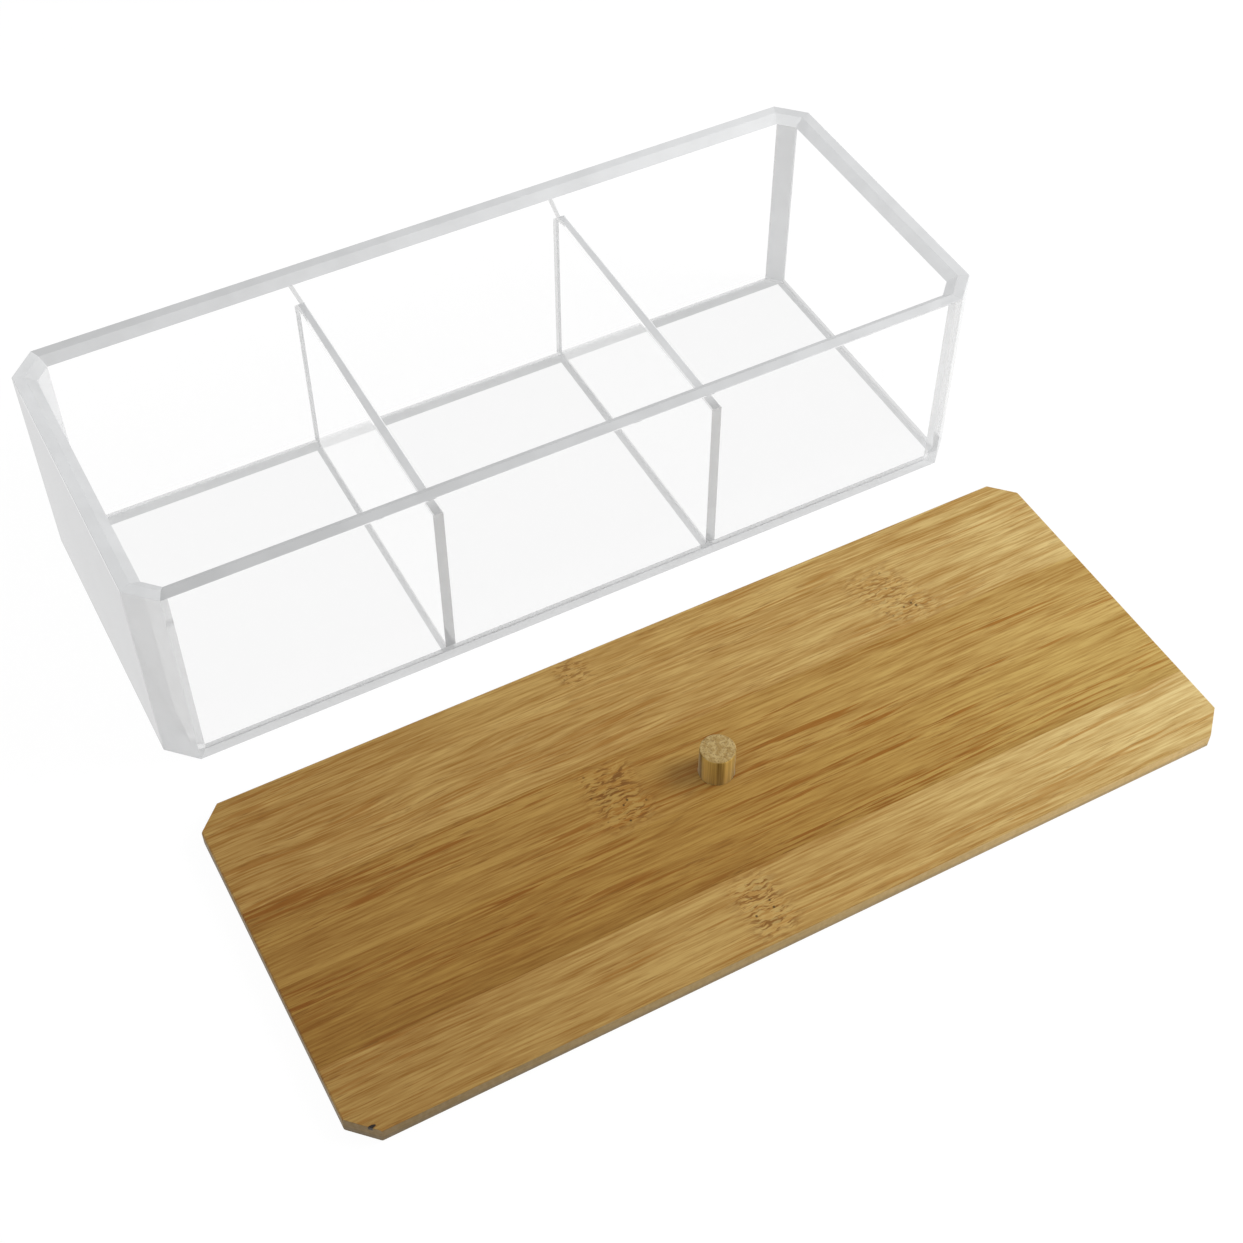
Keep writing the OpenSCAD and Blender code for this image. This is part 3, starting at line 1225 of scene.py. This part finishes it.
@dataclass
class Lid:
    """Laminated bamboo board with a dowel for its knob."""

    body: str = "lid"
    # Size of the softening on the board's outer edges, and the least angle of an edge that has it
    ease: float = 0.12 * MM
    edge_angle: float = math.radians(20)
    # How close to the board's front or back a face has to lie to be one of its sides
    side_margin: float = 1.0 * MM
    # How close to the board's middle a face has to lie to be one of the knob's hole
    hole_reach: float = 20 * MM
    # Softening round the knob's ends, the steps across it, and the knob's steps round its axis
    knob_soft: float = 0.45 * MM
    knob_soft_steps: int = 8
    knob_steps: int = 96
    # Upward part of a normal above which a face belongs to the knob's end
    knob_end_up: float = 0.7
    knob_crease: float = math.radians(50)
    strips: tuple[StripLook, ...] = (
        StripLook(
            "lid_strip_1", "bamboo", tone=0.915, seed=12.0, streaks=0.65, painted_light_drift=(0.85, 0.25),
            knot_x=-20.0, knot_w=9.0, knot_depth=0.75,
        ),
        StripLook(
            "lid_strip_2", "bamboo_pale", tone=0.93, seed=47.0, streaks=0.55, painted_light_drift=(0.87, 0.24),
            knot_x=73.6, knot_w=15.0, knot_slant=-0.3, knot_depth=0.75, wave=1.6,
        ),
        StripLook(
            "lid_strip_3", "bamboo", tone=0.80, seed=83.0, streaks=1.0, painted_light_drift=(0.82, 0.23),
            knot_x=-28.9, knot_w=13.0,
        ),
        StripLook(
            "lid_strip_4", "bamboo_dark", tone=0.742, seed=129.0, streaks=1.0, painted_light_drift=(0.81, 0.33),
            dark_front=0.12,
        ),
        StripLook(
            "lid_strip_5", "bamboo_pale", tone=0.94, seed=171.0, streaks=0.65, painted_light_drift=(0.80, 0.31),
            knot_x=-12.1, knot_w=11.0,
        ),
    )

    def build(self) -> list[bpy.types.Object]:
        """Build the lid.

        Returns:
            Its pieces.
        """
        boxes = [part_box(look.node) for look in self.strips]
        self.low = Vector(min(low[axis] for low, _ in boxes) for axis in range(3))
        self.high = Vector(max(high[axis] for _, high in boxes) for axis in range(3))
        self.middle = (self.low + self.high) / 2
        self.finish = BambooFinish(self.middle)
        self.side = self.finish.side()
        return [self.strip(look) for look in self.strips] + [self.knob()]

    def strip(self, look: StripLook) -> bpy.types.Object:
        """Build one strip of the board.

        Args:
            look: What sets it apart.

        Returns:
            The piece.
        """
        bm = merged_copy(look.node)
        low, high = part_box(look.node)
        edges = ((low.y - self.middle.y) / MM, (high.y - self.middle.y) / MM)
        materials = [self.finish.face(look, edges), self.side]
        for face in bm.faces:
            face.material_index = int(self._is_side(face))
        soften(bm, [edge for edge in bm.edges if self._is_outer_edge(edge)], self.ease)
        name = "board_" + look.node.removeprefix("lid_")
        return add_piece(name, bm, materials, look.node, self.body)

    def _is_side(self, face: bmesh.types.BMFace) -> bool:
        """Tell whether a face is on one of the board's sides, and not in a seam or the hole.

        Args:
            face: The face.

        Returns:
            Whether it is.
        """
        at = face.calc_center_median()
        away = at - self.middle
        hole = abs(away.x) < self.hole_reach and abs(away.y) < self.hole_reach
        inner = self.low.y + self.side_margin < at.y < self.high.y - self.side_margin
        seam = abs(face.normal.y) > FACING and inner
        return face.normal.xy.length > FACING and not hole and not seam

    @staticmethod
    def _level(edge: bmesh.types.BMEdge) -> bool:
        """Tell whether both ends of an edge lie at the same height."""
        a, b = (vert.co.z for vert in edge.verts)
        return abs(a - b) < LEVEL

    def _is_outer_edge(self, edge: bmesh.types.BMEdge) -> bool:
        """Tell whether an edge lies on the rim of the board.

        Args:
            edge: The edge.

        Returns:
            Whether it is a level edge of one of the board's sides.
        """
        if len(edge.link_faces) != 2 or edge.calc_face_angle() < self.edge_angle:
            return False
        return self._level(edge) and any(face.material_index == 1 for face in edge.link_faces)

    def knob(self) -> bpy.types.Object:
        """Build the knob: a dowel with softened edges, spun about its axis.

        Returns:
            The piece.
        """
        low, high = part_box("lid_knob")
        axis = Vector(((low.x + high.x) / 2, (low.y + high.y) / 2, 0))
        r, soft = (high.x - low.x) / 2, self.knob_soft
        profile = [(0, low.z), (r - soft, low.z), (r, low.z + soft), (r, high.z - soft)]
        for n in range(1, self.knob_soft_steps + 1):
            angle = math.pi / 2 * n / self.knob_soft_steps
            profile.append((r - soft + soft * math.cos(angle), high.z - soft + soft * math.sin(angle)))
        profile.append((0, high.z))
        bm = bmesh.new()
        verts = [bm.verts.new(axis + Vector((x, 0, z))) for x, z in profile]
        edges = [bm.edges.new(pair) for pair in zip(verts, verts[1:])]
        bmesh.ops.spin(
            bm,
            geom=verts + edges,
            cent=axis,
            axis=UP,
            angle=math.tau,
            steps=self.knob_steps,
            use_merge=True,
            use_duplicate=False,
        )
        bmesh.ops.remove_doubles(bm, verts=bm.verts, dist=SNAPPED)
        bmesh.ops.recalc_face_normals(bm, faces=bm.faces)
        for face in bm.faces:
            face.smooth = True
            face.material_index = int(face.normal.z > self.knob_end_up)
        finish = DowelFinish()
        materials = [finish.side(), finish.end()]
        piece = add_piece("dowel_knob", bm, materials, "lid_knob", self.body)
        piece.data.set_sharp_from_angle(angle=self.knob_crease)
        return piece


@dataclass(frozen=True)
class Lamp:
    """Square soft lamp that looks at the part, with its size in metres and its power in watts."""

    name: str
    place: Triple
    size: float
    power: float

    def build(self) -> None:
        """Hang the lamp."""
        lamp = bpy.data.lights.new(self.name, "AREA")
        lamp.shape = "SQUARE"
        lamp.size = self.size
        lamp.energy = self.power
        holder = bpy.data.objects.new(self.name, lamp)
        bpy.context.scene.collection.objects.link(holder)
        # Its square stays out of the sheets and of the floor's sheen
        holder.visible_glossy = holder.visible_transmission = False
        place = Vector(self.place)
        turn = (-place).to_track_quat("-Z", "Y").to_matrix().to_4x4()
        holder.matrix_world = Matrix.Translation(place) @ turn


@dataclass
class Studio:
    """Pale floor, soft light and the camera of the photograph."""

    lamps: tuple[Lamp, ...] = (
        Lamp("key", (0.52, -0.28, 0.5), 0.32, 2.75),
        Lamp("fill", (-0.9, -0.7, 1.5), 1.4, 3.0),
    )
    # Strength of the sky as it lights the part, and as the picture shows it
    sky_light: float = 0.57
    sky_seen: float = 1.0
    # Half the floor's side in metres, its squares a side, and its depth under the part
    floor_half: float = 6.0
    floor_squares: int = 8
    floor_drop: float = 0.12 * MM
    # Grey of the floor as it lights the part, and its glow and the grey over it in the picture
    floor_grey: float = 0.8
    floor_glow: float = 0.95
    floor_lit: float = 0.07
    # Size of the photograph in pixels, and its focal length in the same unit
    photo_px: int = 1243
    focal_px: float = 2034.41
    # Width of the camera's sensor in mm, and the least distance that it sees in metres
    sensor: float = 36.0
    nearest: float = 0.01
    # Turn of the camera in radians, and its place in mm
    yaw: float = 0.4990
    pitch: float = 0.8688
    roll: float = 0.0056
    place: Triple = (-175.727, -392.4355, 444.7909)

    def build(self) -> None:
        """Build the floor, the light and the camera."""
        self._floor()
        self._world()
        for lamp in self.lamps:
            lamp.build()
        self._camera()

    def _floor(self) -> None:
        """Make the floor, which shows white in the picture but keeps the part's shadow."""
        bm = bmesh.new()
        squares = self.floor_squares
        bmesh.ops.create_grid(bm, x_segments=squares, y_segments=squares, size=self.floor_half)
        bmesh.ops.translate(bm, verts=bm.verts, vec=-UP * self.floor_drop)
        mesh = bpy.data.meshes.new("floor")
        bm.to_mesh(mesh)
        bm.free()
        floor = bpy.data.objects.new("floor", mesh)
        bpy.context.scene.collection.objects.link(floor)
        g = MaterialGraph("floor")
        seen = self._seen(g)
        plain = g.node("BsdfDiffuse", Color=(self.floor_grey,) * 3 + (1,))
        lit = g.node("BsdfDiffuse", Color=(self.floor_lit,) * 3 + (1,))
        glow = g.node("Emission", Color=(1, 1, 1, 1), Strength=self.floor_glow)
        both = g.node("AddShader", i0=lit.outputs[0], i1=glow.outputs[0])
        shader = g.node("MixShader", i0=seen, i1=plain.outputs[0], i2=both.outputs[0])
        mesh.materials.append(g.finish(shader))

    @staticmethod
    def _seen(g: Graph) -> Socket:
        """Give 1 to rays that show the picture: straight, mirrored or through clear sheet.

        Args:
            g: Graph of the floor's material or of the sky.

        Returns:
            The value's socket.
        """
        path = g.node("LightPath").outputs
        either = g.math("MAXIMUM", path["Is Camera Ray"], path["Is Glossy Ray"])
        return g.math("MAXIMUM", either, path["Is Transmission Ray"])

    def _world(self) -> None:
        """Light the scene evenly, with white behind the part."""
        world = bpy.data.worlds.new("studio")
        bpy.context.scene.world = world
        world.use_nodes = True
        g = Graph(world.node_tree, "OutputWorld")
        strengths = (self.sky_light, self.sky_seen)
        strength = g.ramp(self._seen(g), (0.0, 1.0), strengths, smooth=False)
        g.finish(g.node("Background", Color=(1, 1, 1, 1), Strength=strength))

    def _camera(self) -> None:
        """Set the camera where the photograph was taken."""
        cy, sy = math.cos(self.yaw), math.sin(self.yaw)
        cp, sp = math.cos(self.pitch), math.sin(self.pitch)
        cr, sr = math.cos(self.roll), math.sin(self.roll)
        ahead = Vector((sy * cp, cy * cp, -sp))
        right = Vector((cy, -sy, 0))
        down = ahead.cross(right)
        across = cr * right - sr * down
        below = sr * right + cr * down
        turn = Matrix((across, -below, -ahead)).transposed().to_4x4()
        data = bpy.data.cameras.new("photo_camera")
        data.sensor_width = self.sensor
        data.lens = self.focal_px * self.sensor / self.photo_px
        data.clip_start = self.nearest
        camera = bpy.data.objects.new("photo_camera", data)
        bpy.context.scene.collection.objects.link(camera)
        camera.matrix_world = Matrix.Translation(Vector(self.place) * MM) @ turn
        bpy.context.scene.camera = camera


def main() -> None:
    """Build the box, the lid and the studio."""
    logging.basicConfig(level=logging.INFO, format="%(message)s")
    for part in (ClearBox(), Lid()):
        made = part.build()
        log.info("%s: %d pieces", type(part).__name__, len(made))
    Studio().build()
    bpy.context.scene.view_settings.view_transform = "Standard"


if __name__ == "__main__":
    main()
